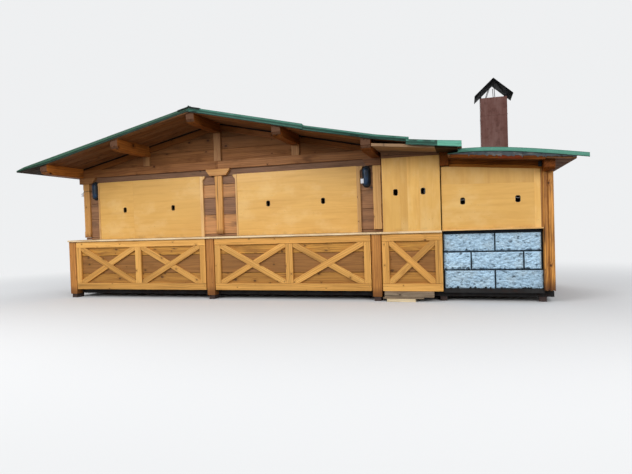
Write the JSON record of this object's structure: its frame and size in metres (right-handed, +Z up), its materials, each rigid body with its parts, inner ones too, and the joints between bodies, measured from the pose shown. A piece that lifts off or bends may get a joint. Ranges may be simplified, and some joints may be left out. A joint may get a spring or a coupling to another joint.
{
  "type": "wooden market hut",
  "caption": "Gabled timber market hut with shuttered serving windows over cross-braced counter fronts, a lower grill annex with a stone front, and a square flue.",
  "frame": {"origin": "on the ground, at the middle of the box that the hut and its roofs fill", "axes": "+X along the counter front to the grill annex, +Y from the counter into the hut, +Z up"},
  "size_m": [8.981, 3.408, 3.4511],
  "materials": {
    "steel": "dull dark paint with rust",
    "packing_wood": "weathered grey brown",
    "floor_wood": "plain boards",
    "post_wood": "red brown glazed timber",
    "frame_wood": "honey glazed boards",
    "backing_wood": "dark brown boards",
    "counter_wood": "pale worn board",
    "wall_post_wood": "orange brown glazed timber",
    "beam_wood": "brown glazed timber with dark stains",
    "gable_wood": "brown horizontal boards",
    "wall_wood": "red brown horizontal boards",
    "trim_wood": "pale honey glaze",
    "shutter_wood": "yellow three layer board, satin",
    "lamp": "dark housing",
    "purlin_wood": "red brown glazed timber, pale ends",
    "deck_wood": "dark brown roof boards",
    "ceiling_wood": "pale roof boards",
    "roof_green": "green painted sheet",
    "trim_green": "green painted edge trim, chalky",
    "ridge_dark": "dark painted cap",
    "stone": "rock faced pale blue grey blocks",
    "flue_brown": "rust brown painted steel",
    "cap_black": "sooty black"
  },
  "bodies": {
    "root": {"base_frame": "steel", "feet": "steel", "packing_boards": "packing_wood", "floor": "floor_wood", "counter_posts": "post_wood", "counter_frame_left": "frame_wood", "counter_frame_middle": "frame_wood", "counter_frame_right": "frame_wood", "counter_boards": "backing_wood", "counter_top": "counter_wood", "front_posts": "wall_post_wood", "back_posts": "wall_post_wood", "tie_beams": "beam_wood", "gable_struts": "wall_post_wood", "gable_rafters": "beam_wood", "gable_boards": "gable_wood", "front_wall": "wall_wood", "window_jambs": "trim_wood", "shutter_left": "shutter_wood", "shutter_middle": "shutter_wood", "shutter_narrow": "shutter_wood", "shutter_grill": "shutter_wood", "wall_lamps": "lamp", "ridge_purlin": "purlin_wood", "side_purlins": "purlin_wood", "roof_deck_left": "deck_wood", "roof_deck_right": "deck_wood", "roof_sheet_left": "roof_green", "roof_sheet_right": "roof_green", "verge_trims": "trim_green", "ridge_cap": "ridge_dark", "bay_ceiling": "ceiling_wood", "bay_cheek": "wall_wood", "left_wall": "wall_wood", "right_wall": "wall_wood", "back_wall": "wall_wood", "back_door": "wall_wood", "annex_posts": "wall_post_wood", "stone_front": "stone", "annex_header": "beam_wood", "annex_purlins": "beam_wood", "annex_deck": "deck_wood", "annex_sheet": "trim_green", "flue": "flue_brown", "flue_cap": "cap_black"}
  },
  "joints": []
}
